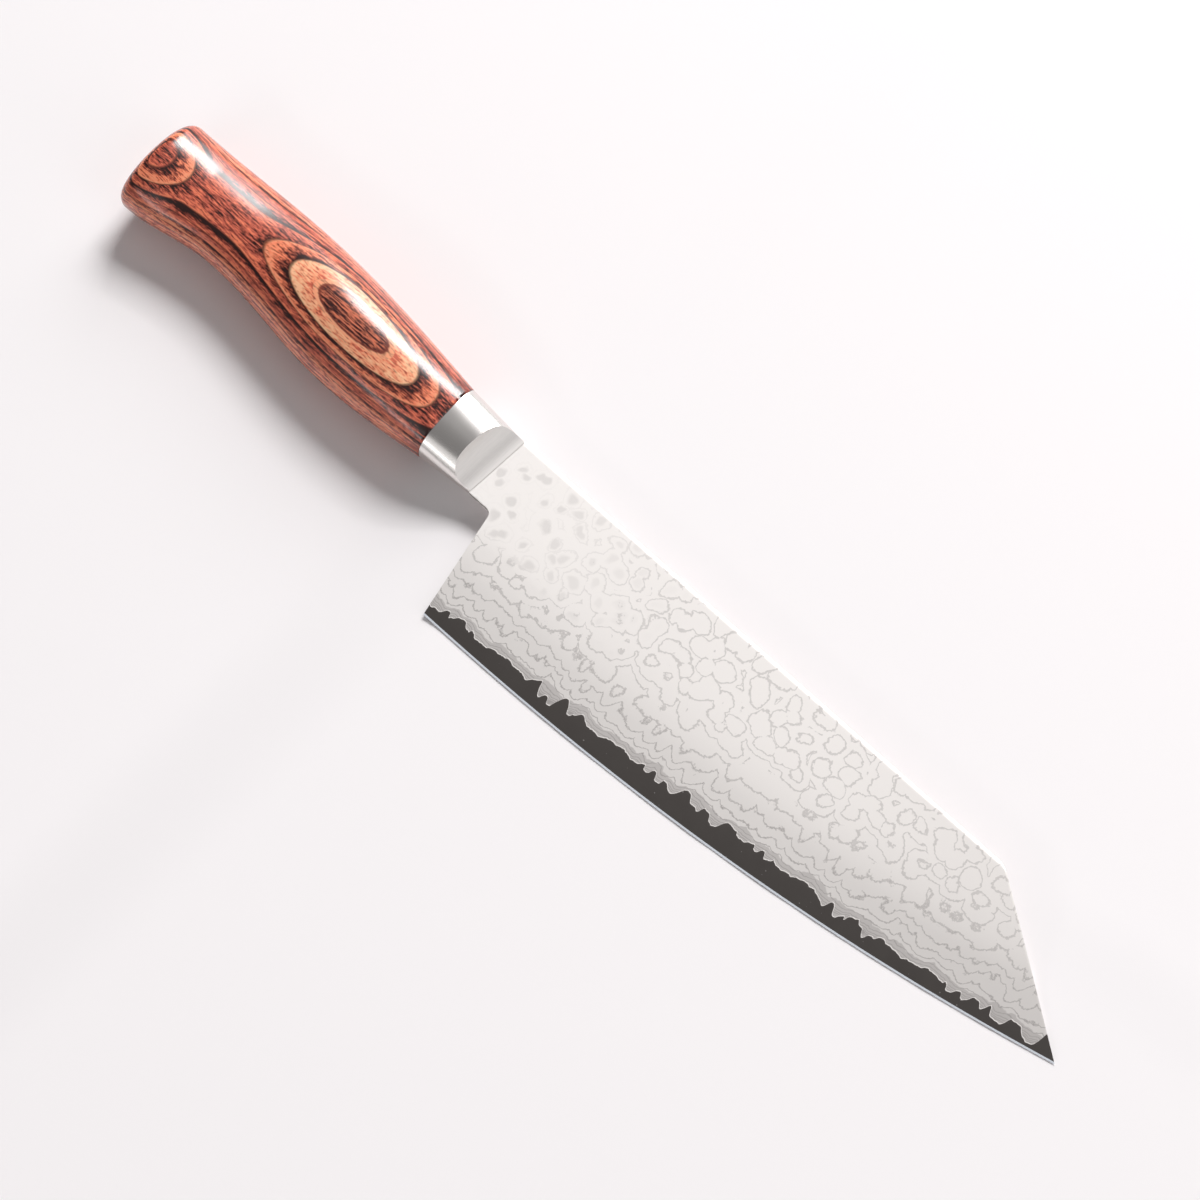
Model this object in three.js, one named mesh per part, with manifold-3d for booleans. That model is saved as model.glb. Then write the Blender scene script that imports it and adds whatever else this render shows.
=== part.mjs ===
// A bunka kitchen knife lying on its side: a laminated blade whose hidden tang runs through a welded
// bolster and is bedded in epoxy inside a handle of flat, dyed wood veneers.
// Millimetres. +X points to the tip, +Y to the spine and +Z out of the blade's upper side.
// The pieces are drawn with x = 0 at the front of the bolster, y = 0 on the spine and z = 0 in the
// middle of the blade's thickness. At the end the whole knife is set down on z = 0, centred on the origin.

import * as THREE from 'three';
import { mergeVertices } from 'three/addons/utils/BufferGeometryUtils.js';
import Module from 'manifold-3d';

const wasm = await Module();
wasm.setup();

const DEGREE = Math.PI / 180;

// Blade outline
const HEEL = new THREE.Vector2(12.6, -47.9);
const TIP = new THREE.Vector2(191.4, -27.1);
const EDGE_BEND = 2.15; // power that lifts the cutting edge from the heel to the tip
const NOSE_ANGLE = 35 * DEGREE; // fall of the clipped nose below the spine
const NOSE_RADIUS = 6; // rounding where the spine meets the nose
const NECK_HEIGHT = 18.5; // from the spine to the underside of the neck
const CHOIL_X = 6.8; // where the neck meets the back of the heel
const CHOIL_RADIUS = 2;

// Blade thickness, and the three layers that are forged together
const BLADE_THICKNESS = 2;
const GRIND_HEIGHT = 28; // the sides are flat and parallel above this height over the edge
const BEVEL_HEIGHT = 0.45; // the final sharpened facet
const BEVEL_THICKNESS = 0.26; // at the top of that facet
const SPINE_EASE_WIDTH = 1.1; // flattened edge along the spine, on both sides
const SPINE_EASE_ANGLE = 16 * DEGREE;
const GRIND_HEIGHTS = [8, 12.5, 17.5, 22.5, GRIND_HEIGHT]; // rows that follow the convex grind
const CORE_BAND = 4; // height of bare core steel at the heel and the tip
const CORE_SWELL = 2.2; // added to that height at mid-length
const WAVES = [
  { height: 0.55, length: 17, phase: 0.4 },
  { height: 0.4, length: 11.3, phase: 2.1 },
];

// Tang
const TANG_LENGTH = 88;
const TANG_THICKNESS = 1.8;
const TANG_TOP = -3.1; // level of its upper side
const TANG_ROOT_HEIGHT = 12;
const TANG_END_HEIGHT = 7;
const SLOT_MARGIN = 1; // epoxy around the tang's outline
const SLOT_HEIGHT = 3; // epoxy and tang together, across the veneers

// Bolster
const BOLSTER_LENGTH = 16.7;
const BOLSTER_MIDDLE = -9.3; // level of its middle
const REAR_HALF_HEIGHT = 10.3;
const REAR_HALF_THICKNESS = 6.9;
const FRONT_HALF_HEIGHT = 9.2;
const FRONT_HALF_THICKNESS = 4.9;
const REAR_SECTION_POWER = 2.8; // squareness of its sections: 2 would be an ellipse
const FRONT_SECTION_POWER = 2.1;
const BOLSTER_CROWN = 0.3; // how much its flat sides swell in the middle
const REAR_LEAN = -0.045; // slope of the joint with the wood, seen from above
const FRONT_LEAN = 0.056; // slope of the joint with the blade
const SCOOP_RADIUS = 8.5;
const SCOOP_LEDGE = 0.25; // step from the scoop down to the blade's side
const GLUE_LINE = 0.05;

// Handle
const HANDLE_END = -118.4;
const BUTT_RADIUS = 2.8;
const BUTT_DOME = 0.9;
const BELLY_X = -50; // thickest place
const WAIST_X = -88; // narrowest place, seen from above and from the edge
const FLARE_X = -101; // where the thickness starts to grow again towards the butt
const BUTT_X = -115; // where all the lines have reached the butt
const TOP_LINE = [
  [-BOLSTER_LENGTH, BOLSTER_MIDDLE + REAR_HALF_HEIGHT],
  [-74, 6.35],
  [BUTT_X, 5.2],
];
const BELLY_LINE = [
  [-BOLSTER_LENGTH, BOLSTER_MIDDLE - REAR_HALF_HEIGHT],
  [-46, -22.35],
  [WAIST_X, -18.6],
  [BUTT_X, -22.1],
];
const HALF_THICKNESS_LINE = [
  [-BOLSTER_LENGTH, REAR_HALF_THICKNESS],
  [BELLY_X, 10.3],
  [WAIST_X, 7.15],
  [FLARE_X, 7.2],
  [BUTT_X, 8.9],
];
const CROWN_LINE = [
  [-BOLSTER_LENGTH, BOLSTER_CROWN],
  [BELLY_X, 3.6],
  [WAIST_X, 1.55],
  [BUTT_X, 1.6],
];
const POWER_LINE = [
  [-BOLSTER_LENGTH, REAR_SECTION_POWER],
  [BELLY_X, 2],
  [WAIST_X, 2.3],
  [BUTT_X, 2.35],
];
// How far the crest of the broad sides lies towards the spine
const CREST_LINE = [
  [-BOLSTER_LENGTH, 0],
  [BELLY_X, 1.2],
  [WAIST_X, -1.1],
  [BUTT_X, 0.4],
];
const VENEER_THICKNESS = 1;
const VENEER_COUNT = 21;

// Fineness of the round forms
const SWEEP_STEPS = 60;
const AROUND = 32;
const HANDLE_STEPS = 20;
const BUTT_STEPS = 3;
const BOLSTER_STEPS = 2;
const SCOOP_SIDES = 48;
const OUTLINE_STEPS = 6;

// A size well past everything, for cutting, and the distance below which two points are one
const CLEAR = 60;
const MERGE = 1e-4;

const steel = (color, roughness) => new THREE.MeshStandardMaterial({ color, roughness, metalness: 1 });
const wood = (color) => new THREE.MeshStandardMaterial({ color, roughness: 0.3, metalness: 0 });
const coreSteel = steel(0x57514f, 0.3);
const patternSteel = steel(0xdcd7d3, 0.45);
const bolsterSteel = steel(0xd9d4cf, 0.18);
const epoxy = new THREE.MeshStandardMaterial({ color: 0xcdb98a, roughness: 0.5, metalness: 0 });
const darkVeneer = wood(0x4a2622);
const tanVeneer = wood(0xc9875c);
const redVeneer = wood(0x96463a);

// Dyes of the veneers, from either broad side inwards
const DYES = [darkVeneer, tanVeneer, redVeneer, redVeneer, redVeneer];

// A closed geometry as a solid that can be cut and joined.
function solid(geometry) {
  geometry.deleteAttribute('normal');
  geometry.deleteAttribute('uv');
  const merged = mergeVertices(geometry, MERGE);
  return new wasm.Manifold(
    new wasm.Mesh({
      numProp: 3,
      vertProperties: Float32Array.from(merged.attributes.position.array),
      triVerts: Uint32Array.from(merged.index.array),
    }),
  );
}

// A named mesh from a solid.
function piece(name, body, material) {
  const { vertProperties, triVerts } = body.getMesh();
  const geometry = new THREE.BufferGeometry();
  geometry.setAttribute('position', new THREE.BufferAttribute(vertProperties, 3));
  geometry.setIndex(new THREE.BufferAttribute(triVerts, 1));
  geometry.computeVertexNormals();
  const mesh = new THREE.Mesh(geometry, material);
  mesh.name = name;
  return mesh;
}

// A flat outline given thickness, centred on z = 0.
function prism(shape, thickness) {
  const options = { depth: thickness, bevelEnabled: false, curveSegments: OUTLINE_STEPS };
  return solid(new THREE.ExtrudeGeometry(shape, options).translate(0, 0, -thickness / 2));
}

// A block between two x values and two z values, wide enough to cut the whole knife.
function slab(x0, x1, z0, z1) {
  const box = new THREE.BoxGeometry(x1 - x0, 2 * CLEAR, z1 - z0);
  return solid(box.translate((x0 + x1) / 2, 0, (z0 + z1) / 2));
}

// Blade

// How far along the edge a point is: 0 at the heel, 1 at the tip.
function edgeShare(x) {
  return Math.max(0, (x - HEEL.x) / (TIP.x - HEEL.x));
}

function edgeY(x) {
  return HEEL.y + (TIP.y - HEEL.y) * edgeShare(x) ** EDGE_BEND;
}

// Half the blade's thickness at a height over the cutting edge: a flat bevel, then a convex grind.
function halfThickness(height) {
  if (height < BEVEL_HEIGHT) return (height / BEVEL_HEIGHT) * (BEVEL_THICKNESS / 2);
  const rest = Math.max(0, 1 - (height - BEVEL_HEIGHT) / (GRIND_HEIGHT - BEVEL_HEIGHT));
  return BLADE_THICKNESS / 2 - ((BLADE_THICKNESS - BEVEL_THICKNESS) / 2) * rest ** 2;
}

// Height over the edge of the wavy line where the cladding ends and the core is bare.
function coreLine(x) {
  let height = CORE_BAND + CORE_SWELL * Math.sin(Math.PI * Math.min(1, edgeShare(x)));
  for (const wave of WAVES) {
    height += wave.height * Math.sin((2 * Math.PI * x) / wave.length + wave.phase);
  }
  return height;
}

// One layer of the blade, from a section of [height over the edge, half thickness] corners that is swept
// from the tang's end past the tip. The corner at CORE_BAND rides on the wavy line, and the layers' joint
// stays level with it all the way up the blade.
function sweptLayer(section) {
  const firstX = -TANG_LENGTH - CLEAR;
  const lastX = TIP.x + 4;
  const swept = new THREE.ExtrudeGeometry(
    new THREE.Shape(section.map(([height, z]) => new THREE.Vector2(height, z))),
    { depth: SWEEP_STEPS, steps: SWEEP_STEPS, bevelEnabled: false },
  );
  const blendTop = 3 * CORE_BAND;
  const position = swept.attributes.position;
  for (let i = 0; i < position.count; i += 1) {
    const step = Math.round(position.getZ(i));
    const x = step === 0 ? firstX : THREE.MathUtils.mapLinear(step, 1, SWEEP_STEPS, CHOIL_X, lastX);
    const height = position.getX(i);
    const z = position.getY(i);
    const below = THREE.MathUtils.smoothstep(height, BEVEL_HEIGHT, CORE_BAND);
    const above = 1 - THREE.MathUtils.smoothstep(height, CORE_BAND, blendTop);
    const moved = height + (coreLine(x) - CORE_BAND) * Math.min(below, above);
    const onJoint = Math.abs(Math.abs(z) - JOINT_Z) < MERGE;
    const half = onJoint ? halfThickness(coreLine(x)) : halfThickness(moved);
    position.setXYZ(i, x, edgeY(x) + moved, Math.sign(z) * half);
  }
  return solid(swept);
}

// The blade and its tang seen from above. The cutting edge itself comes from the swept layers.
function bladeOutline() {
  const noseX = TIP.x + TIP.y / Math.tan(NOSE_ANGLE);
  const arcStart = noseX - NOSE_RADIUS * Math.tan(NOSE_ANGLE / 2);
  const below = HEEL.y - 10;
  const heelSlope = (HEEL.x - CHOIL_X) / (HEEL.y + NECK_HEIGHT);
  const heelAngle = Math.atan(-heelSlope);
  const choilReach = CHOIL_RADIUS * Math.tan((Math.PI / 2 - heelAngle) / 2);
  const shape = new THREE.Shape();
  shape.moveTo(frontX(0), 0);
  shape.lineTo(arcStart, 0);
  shape.absarc(arcStart, -NOSE_RADIUS, NOSE_RADIUS, Math.PI / 2, Math.PI / 2 - NOSE_ANGLE, true);
  shape.lineTo(TIP.x + 2, TIP.y - 2 * Math.tan(NOSE_ANGLE));
  shape.lineTo(TIP.x + 2, below);
  shape.lineTo(HEEL.x + (below - HEEL.y) * heelSlope, below);
  shape.absarc(
    CHOIL_X - choilReach,
    -NECK_HEIGHT - CHOIL_RADIUS,
    CHOIL_RADIUS,
    heelAngle,
    Math.PI / 2,
    false,
  );
  shape.lineTo(frontX(-NECK_HEIGHT), -NECK_HEIGHT);
  return shape;
}

// Where the blade meets the front of the bolster, at a level on the blade.
function frontX(y) {
  return FRONT_LEAN * (y - BOLSTER_MIDDLE);
}

// The tang's outline, grown by a margin and reaching forward into the neck of the blade.
function tangOutline(margin) {
  const endX = -TANG_LENGTH - margin;
  const shape = new THREE.Shape();
  shape.moveTo(CHOIL_X, TANG_TOP + margin);
  shape.lineTo(endX, TANG_TOP + margin);
  shape.lineTo(endX, TANG_TOP - TANG_END_HEIGHT - margin);
  shape.lineTo(0, TANG_TOP - TANG_ROOT_HEIGHT - margin);
  shape.lineTo(CHOIL_X, TANG_TOP - TANG_ROOT_HEIGHT - margin);
  return shape;
}

// Handle and bolster

// A round rod along X whose stations are placed one by one, each a rounded-square section with crowned
// sides. station(step) gives its x, middle, half height, half thickness, crown, power, crest, lean and dome.
function shapedRod(steps, station) {
  const rod = new THREE.CylinderGeometry(1, 1, steps, AROUND, steps);
  const position = rod.attributes.position;
  for (let i = 0; i < position.count; i += 1) {
    const across = position.getZ(i);
    const up = position.getX(i);
    const at = station(Math.round(position.getY(i) + steps / 2));
    const onAxis = Math.hypot(across, up) < 0.5;
    const share = onAxis ? 0 : rounded(across, at.power);
    const y = at.halfHeight * share + at.crest * (1 - share ** 2);
    const crown = Math.sign(up) * at.crown * (1 - share ** 2);
    const z = onAxis ? 0 : (at.halfThickness - at.crown) * rounded(up, at.power) + crown;
    const x = at.x + at.lean * y - (onAxis ? at.dome : 0);
    position.setXYZ(i, x, at.middle + y, z);
  }
  return solid(rod);
}

// A sine or cosine on a rounded square: with a power of 2 it is on a circle.
function rounded(value, power) {
  return Math.sign(value) * Math.abs(value) ** (2 / power);
}

// A line through [x, value] keys: it leaves the first key freely and is level at all the others.
function easedLine(keys, x) {
  const next = Math.max(1, keys.findIndex(([keyX]) => keyX <= x));
  if (x <= keys.at(-1)[0]) return keys.at(-1)[1];
  const [x0, value0] = keys[next - 1];
  const [x1, value1] = keys[next];
  const share = (x - x0) / (x1 - x0);
  const eased = next === 1 ? Math.sin((Math.PI / 2) * share) : (1 - Math.cos(Math.PI * share)) / 2;
  return value0 + (value1 - value0) * eased;
}

// Handle stations run from the butt, whose edge is rounded, to the bolster.
function handleStation(step) {
  const straight = Math.max(0, step - BUTT_STEPS) / HANDLE_STEPS;
  const turn = (Math.max(0, BUTT_STEPS - step) / BUTT_STEPS) * (Math.PI / 2);
  const buttX = HANDLE_END + BUTT_DOME + BUTT_RADIUS;
  const frontEnd = -BOLSTER_LENGTH - GLUE_LINE;
  const x = THREE.MathUtils.lerp(buttX, frontEnd, straight) - BUTT_RADIUS * Math.sin(turn);
  const inset = BUTT_RADIUS * (1 - Math.cos(turn));
  const top = easedLine(TOP_LINE, x);
  const bottom = easedLine(BELLY_LINE, x);
  return {
    x,
    middle: (top + bottom) / 2,
    halfHeight: (top - bottom) / 2 - inset,
    halfThickness: easedLine(HALF_THICKNESS_LINE, x) - inset,
    crown: easedLine(CROWN_LINE, x),
    power: easedLine(POWER_LINE, x),
    crest: easedLine(CREST_LINE, x),
    lean: REAR_LEAN * straight ** 4,
    dome: step === 0 ? BUTT_DOME : 0,
  };
}

// Bolster stations run from the wood to the blade.
function bolsterStation(step) {
  const share = step / BOLSTER_STEPS;
  return {
    x: -BOLSTER_LENGTH * (1 - share),
    middle: BOLSTER_MIDDLE,
    halfHeight: THREE.MathUtils.lerp(REAR_HALF_HEIGHT, FRONT_HALF_HEIGHT, share),
    halfThickness: THREE.MathUtils.lerp(REAR_HALF_THICKNESS, FRONT_HALF_THICKNESS, share),
    crown: BOLSTER_CROWN,
    power: THREE.MathUtils.lerp(REAR_SECTION_POWER, FRONT_SECTION_POWER, share),
    crest: 0,
    lean: THREE.MathUtils.lerp(REAR_LEAN, FRONT_LEAN, share),
    dome: 0,
  };
}

// A cylinder lying across the knife that hollows one side of the bolster down to the blade.
function scoop(side) {
  const cutter = new THREE.CylinderGeometry(SCOOP_RADIUS, SCOOP_RADIUS, 2 * CLEAR, SCOOP_SIDES);
  cutter.rotateZ(-Math.atan(FRONT_LEAN));
  const height = BLADE_THICKNESS / 2 + SCOOP_LEDGE + SCOOP_RADIUS;
  return solid(cutter.translate(0, BOLSTER_MIDDLE, side * height));
}

// A block that flattens the edge between the spine and one side of the blade.
function spineEase(side) {
  const cutter = new THREE.BoxGeometry(2 * TIP.x, CLEAR, CLEAR).translate(0, 0, (side * CLEAR) / 2);
  cutter.rotateX(-side * SPINE_EASE_ANGLE);
  return solid(cutter.translate(TIP.x, -SPINE_EASE_WIDTH, (side * BLADE_THICKNESS) / 2));
}

// The half thickness that marks the joint between the layers in their sections
const JOINT_Z = halfThickness(CORE_BAND);

// The core is a plate with the cutting edge along its lower side.
const CORE_SECTION = [
  [0, 0],
  [BEVEL_HEIGHT, -BEVEL_THICKNESS / 2],
  [CORE_BAND, -JOINT_Z],
  [CLEAR, -JOINT_Z],
  [CLEAR, JOINT_Z],
  [CORE_BAND, JOINT_Z],
  [BEVEL_HEIGHT, BEVEL_THICKNESS / 2],
];

// A cladding lies on one side of the core and is ground away towards the edge.
const CLADDING_SECTION = [
  [CORE_BAND, JOINT_Z],
  [CLEAR, JOINT_Z],
  [CLEAR, BLADE_THICKNESS / 2],
  ...GRIND_HEIGHTS.toReversed().map((height) => [height, halfThickness(height)]),
];

const tang = prism(tangOutline(0), TANG_THICKNESS);
const bladeBlank = prism(bladeOutline(), CLEAR).add(tang);
const core = sweptLayer(CORE_SECTION).intersect(bladeBlank);

function cladding(side) {
  const section = CLADDING_SECTION.map(([height, z]) => [height, side * z]);
  return sweptLayer(section).intersect(bladeBlank).subtract(spineEase(side));
}

const barrel = shapedRod(BOLSTER_STEPS, bolsterStation);
const bolster = barrel.subtract(scoop(1)).subtract(scoop(-1)).subtract(tang);

const handle = shapedRod(BUTT_STEPS + HANDLE_STEPS, handleStation);
const slot = prism(tangOutline(SLOT_MARGIN), SLOT_HEIGHT);
const bedding = slot.intersect(handle).subtract(tang);
const slottedHandle = handle.subtract(slot);

// Each veneer is one flat slice of the handle. The outermost ones are sanded through at the waist,
// so what is left of them lies on the belly and on the butt.
const veneers = [];
const waistHalf = easedLine(HALF_THICKNESS_LINE, WAIST_X);
const pastButt = HANDLE_END - CLEAR;
for (let layer = 0; layer < VENEER_COUNT; layer += 1) {
  const top = (VENEER_COUNT / 2 - layer) * VENEER_THICKNESS;
  const bottom = top - VENEER_THICKNESS;
  const name = `veneer_${String(layer + 1).padStart(2, '0')}`;
  const depth = Math.min(layer, VENEER_COUNT - 1 - layer);
  const dye = DYES[depth % DYES.length];
  const cut = (x0, x1) => slottedHandle.intersect(slab(x0, x1, bottom, top));
  if (Math.min(Math.abs(top), Math.abs(bottom)) < waistHalf) {
    veneers.push(piece(name, cut(pastButt, 0), dye));
    continue;
  }
  const islands = { belly: cut(WAIST_X, 0), butt: cut(pastButt, WAIST_X) };
  for (const [place, island] of Object.entries(islands)) {
    if (!island.isEmpty()) veneers.push(piece(`${name}_${place}`, island, dye));
  }
}

const knife = new THREE.Group();
knife.add(
  piece('core_plate', core, coreSteel),
  piece('upper_cladding', cladding(1), patternSteel),
  piece('lower_cladding', cladding(-1), patternSteel),
  piece('bolster', bolster, bolsterSteel),
  piece('tang_bedding', bedding, epoxy),
  ...veneers,
);

// Set the knife down on z = 0 with the origin under the middle of its box.
const box = new THREE.Box3().setFromObject(knife);
const middle = box.getCenter(new THREE.Vector3());
knife.position.set(-middle.x, -middle.y, -box.min.z);

export default knife;
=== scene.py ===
"""A bunka kitchen knife: laminated patterned blade, polished bolster and contoured veneer handle."""

import math
from functools import partialmethod

import bpy
import numpy as np
from bpy.props import FloatProperty, FloatVectorProperty, IntProperty, PointerProperty
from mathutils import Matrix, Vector
from mathutils.bvhtree import BVHTree


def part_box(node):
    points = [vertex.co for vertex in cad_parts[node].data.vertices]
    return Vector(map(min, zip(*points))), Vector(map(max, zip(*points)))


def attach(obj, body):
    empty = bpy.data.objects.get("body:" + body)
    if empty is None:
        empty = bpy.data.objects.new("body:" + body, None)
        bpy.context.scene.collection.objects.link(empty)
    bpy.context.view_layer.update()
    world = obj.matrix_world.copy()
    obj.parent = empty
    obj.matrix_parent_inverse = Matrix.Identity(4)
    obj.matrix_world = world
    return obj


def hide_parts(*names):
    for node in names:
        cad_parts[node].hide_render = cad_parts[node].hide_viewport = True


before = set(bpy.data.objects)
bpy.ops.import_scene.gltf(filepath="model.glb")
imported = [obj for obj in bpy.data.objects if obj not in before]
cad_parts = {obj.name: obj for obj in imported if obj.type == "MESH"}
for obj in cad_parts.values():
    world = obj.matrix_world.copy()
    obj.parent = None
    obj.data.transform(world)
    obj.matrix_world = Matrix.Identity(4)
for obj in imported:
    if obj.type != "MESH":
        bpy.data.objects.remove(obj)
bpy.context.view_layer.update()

bl_info = {
    "name": "Bunka Knife",
    "version": (1, 0, 0),
    "blender": (4, 5, 0),
    "location": "View3D > Sidebar > Knife",
    "description": "Builds a bunka knife with a patterned blade, a bolster and a veneer handle",
    "category": "Add Mesh",
}

MM = 0.001

# The blade is drawn with x = 0 at the bolster's front, y = 0 at the spine and z = 0 in its middle.
BLADE_REACH = 191.4 * MM
CORE_LOW, CORE_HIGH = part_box("core_plate")
KNIFE_ORIGIN = Vector((CORE_HIGH.x - BLADE_REACH, CORE_HIGH.y, (CORE_LOW.z + CORE_HIGH.z) / 2))

# Height, length and phase of the waves of the line where the core shows
CORE_WAVES = (
    (0.35 * MM, 17 * MM, 0.4),
    (0.3 * MM, 11.3 * MM, 2.1),
    (0.16 * MM, 4.3 * MM, 0.2),
    (0.1 * MM, 2.4 * MM, 2.6),
    (0.06 * MM, 1.2 * MM, 0.9),
)
# Depth and length of the cladding's round lobes, and the length and phase of the stretches that have them
CORE_LOBES = (
    (2.0 * MM, 7.1 * MM, 43 * MM, 0.6),
    (1.3 * MM, 3.9 * MM, 29 * MM, 3.4),
)
# How much of a lobe's depth shows, how flat its end is and how much wider it is than the gaps
LOBE_SHARE, LOBE_FLATNESS, LOBE_SHIFT = 0.55, 2.4, 0.3
# How far the lobes stray from an even spacing, in radians, and over how many lobes
LOBE_STRAY, LOBE_STRAY_SPAN = 0.8, 2.7
# How sharply the stretches with lobes begin and end
PATCH_STEEPNESS = 1.5
# Shares of the edge between which the core line falls towards the tip
CORE_FALL_SPAN = (0.5, 0.78)
# Reach, length and phase of the lean of the core line along the blade
CORE_LEANS = (
    (0.3 * MM, 5.3 * MM, 0.7),
    (0.07 * MM, 2.9 * MM, 2.2),
)
# How far that lean reaches into the steel beside the line
LEAN_REACH = 1.6 * MM

# Depth of the first forged layer under the surface, below which the layers are thicker
LAYER = 0.0355 * MM

# Angle in degrees past which an edge of the blade is sharp
BLADE_CREASE = 9

# Lines along the handle, as places and values
BELLY_X = -50 * MM
WAIST_X = -88 * MM
FLARE_X = -101 * MM
BUTT_X = -115 * MM
NOSE_X = -16.7 * MM
TOP_LINE = ((NOSE_X, 1.0 * MM), (-74 * MM, 6.345 * MM), (BUTT_X, 5.2 * MM))
BELLY_LINE = (
    (NOSE_X, -19.6 * MM),
    (-46 * MM, -22.35 * MM),
    (WAIST_X, -18.6 * MM),
    (BUTT_X, -22.1 * MM),
)
HALF_THICKNESS_LINE = (
    (NOSE_X, 6.9 * MM),
    (BELLY_X, 10.28 * MM),
    (WAIST_X, 7.15 * MM),
    (FLARE_X, 7.2 * MM),
    (BUTT_X, 8.9 * MM),
)
CROWN_LINE = ((NOSE_X, 0.3 * MM), (BELLY_X, 3.6 * MM), (WAIST_X, 1.55 * MM), (BUTT_X, 1.6 * MM))
POWER_LINE = ((NOSE_X, 2.8), (BELLY_X, 2.0), (WAIST_X, 2.3), (BUTT_X, 2.35))
CREST_LINE = ((NOSE_X, 0.0), (BELLY_X, 1.2 * MM), (WAIST_X, -1.1 * MM), (BUTT_X, 0.4 * MM))

# Dyes of the veneers, from either broad side inwards, and what they turn into at the butt. The three flank
# veneers take a lighter copy of the red dye: their red is real, and the extra lightness is painted light in
# place of fill light on the flanks.
DYES = ("crown", "tan", "orange", "red", "rust", "umber", "amber", "red_with_painted_light", "red_with_painted_light", "red_with_painted_light", "dark")
DYE_AT_BUTT = {"tan": "ember", "orange": "amber"}
DYES_OF_SLOT = {
    "dark_veneer": ("crown", "dark", "umber"),
    "tan_veneer": ("tan", "amber"),
    "red_veneer": ("orange", "rust", "red", "red_with_painted_light"),
}
SLOT_OF_DYE = {dye: slot for slot, dyes in DYES_OF_SLOT.items() for dye in dyes}

# Second shades of the finishes, and the tint of the room, in Blender's linear values
CLOUDED_CORE = (0.3, 0.28, 0.26)
WORN_STEEL = (0.75, 0.72, 0.7)
BRUSHED_STEEL = (0.6, 0.57, 0.56)
BUBBLES = (0.8, 0.75, 0.6)
PAPER_FIBRES = (0.8, 0.78, 0.78)
ROOM_TINT = (1.0, 0.99, 0.985)

# Place and size of each lamp, in metres
LAMPS = {
    "key": ((-0.59, 2.1, 2.06), (1.35, 1.0)),
    "panel": ((0.0, -0.71, 0.55), (0.45, 0.75)),
    "wing": ((-0.32, 1.29, 0.65), (0.95, 0.58)),
    "end": ((0.78, 0.12, 0.52), (0.6, 0.95)),
    "strip": ((-0.16, -0.69, 0.46), (0.36, 0.07)),
}
# Width of the camera's sensor, in millimetres
SENSOR_WIDTH = 36


def srgb(red, green, blue):
    """A colour written as a screen shows it, in Blender's linear values."""
    parts = [c / 255 for c in (red, green, blue)]
    return [c / 12.92 if c <= 0.04045 else ((c + 0.055) / 1.055) ** 2.4 for c in parts]


def length(name, description, millimetres):
    value = millimetres * MM
    return FloatProperty(name=name, description=description, default=value, unit="LENGTH", precision=5)


def ratio(name, description, value):
    return FloatProperty(name=name, description=description, default=value)


def angle(name, description, degrees):
    return FloatProperty(name=name, description=description, default=math.radians(degrees), unit="ROTATION")


def colour(name, description, red, green, blue):
    return FloatVectorProperty(
        name=name,
        description=description,
        default=srgb(red, green, blue),
        subtype="COLOR",
        size=3,
        min=0,
        max=1,
    )


def point(name, description, values, size=3):
    return FloatVectorProperty(
        name=name, description=description, default=values, size=size, unit="LENGTH", precision=5
    )


class BladeSizes(bpy.types.PropertyGroup):
    """Sizes of the blade and its tang."""

    heel: point("Heel", "Heel corner", (12.6 * MM, -47.9 * MM), 2)
    tip: point("Tip", "Point of the blade", (BLADE_REACH, -27.1 * MM), 2)
    edge_bend: ratio("Edge bend", "How late the cutting edge rises to the tip", 2.15)
    nose_angle: angle("Nose angle", "Slope of the clipped nose", 35)
    nose_radius: length("Nose radius", "Rounding between spine and nose", 6)
    neck_height: length("Neck height", "Height of the blade at the bolster", 18.5)
    choil_x: length("Choil", "Where the heel line meets the neck", 6.8)
    choil_radius: length("Choil radius", "Rounding of the choil", 2)
    thickness: length("Thickness", "Thickness below the spine", 2)
    grind_height: length("Grind height", "Height of the hollow grind above the edge", 28)
    bevel_height: length("Bevel height", "Height of the cutting bevel", 0.45)
    bevel_thickness: length("Bevel thickness", "Thickness at the top of the bevel", 0.26)
    ease_width: length("Spine ease", "Width of the eased corner of the spine", 1.0)
    nose_ease: length("Nose ease", "Width of the eased corner of the nose", 0.15)
    ease_angle: angle("Ease angle", "Mean tilt of the eased corner", 9)
    core_band: length("Core band", "Height of the bare core at heel and tip", 4)
    core_swell: length("Core swell", "Extra height of the bare core in the middle", 2.2)
    core_fall: length("Core fall", "How much lower the bare core ends towards the tip", 1.35)
    core_tip: length("Core tip", "Length of the bare core at the tip", 6.7)
    tang_length: length("Tang length", "Length of the tang inside the handle", 88)
    tang_thickness: length("Tang thickness", "Thickness of the tang", 1.8)
    tang_top: length("Tang top", "Drop of the tang below the spine", 3.1)
    tang_root: length("Tang root", "Height of the tang at the blade", 12)
    tang_end: length("Tang end", "Height of the tang at its end", 7)


class BolsterSizes(bpy.types.PropertyGroup):
    """Sizes of the bolster."""

    length: length("Length", "Length of the bolster", 16.7)
    middle: length("Middle", "Height of the bolster's axis below the spine", -9.3)
    rear_height: length("Rear half height", "Half height at the handle", 10.3)
    rear_thickness: length("Rear half thickness", "Half thickness at the handle", 6.9)
    front_height: length("Front half height", "Half height at the blade", 9.2)
    front_thickness: length("Front half thickness", "Half thickness at the blade", 4.9)
    rear_power: ratio("Rear squareness", "Squareness of the section at the handle", 2.8)
    front_power: ratio("Front squareness", "Squareness of the section at the blade", 2.1)
    crown: length("Crown", "Crown of the broad sides", 0.3)
    rear_lean: ratio("Rear lean", "Lean of the rear face", -0.045)
    front_lean: ratio("Front lean", "Lean of the front face", 0.056)
    scoop_radius: length("Scoop radius", "Radius of the hollow on each side", 8.5)
    scoop_ledge: length("Scoop ledge", "Metal left beside the blade", 0.25)


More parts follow.
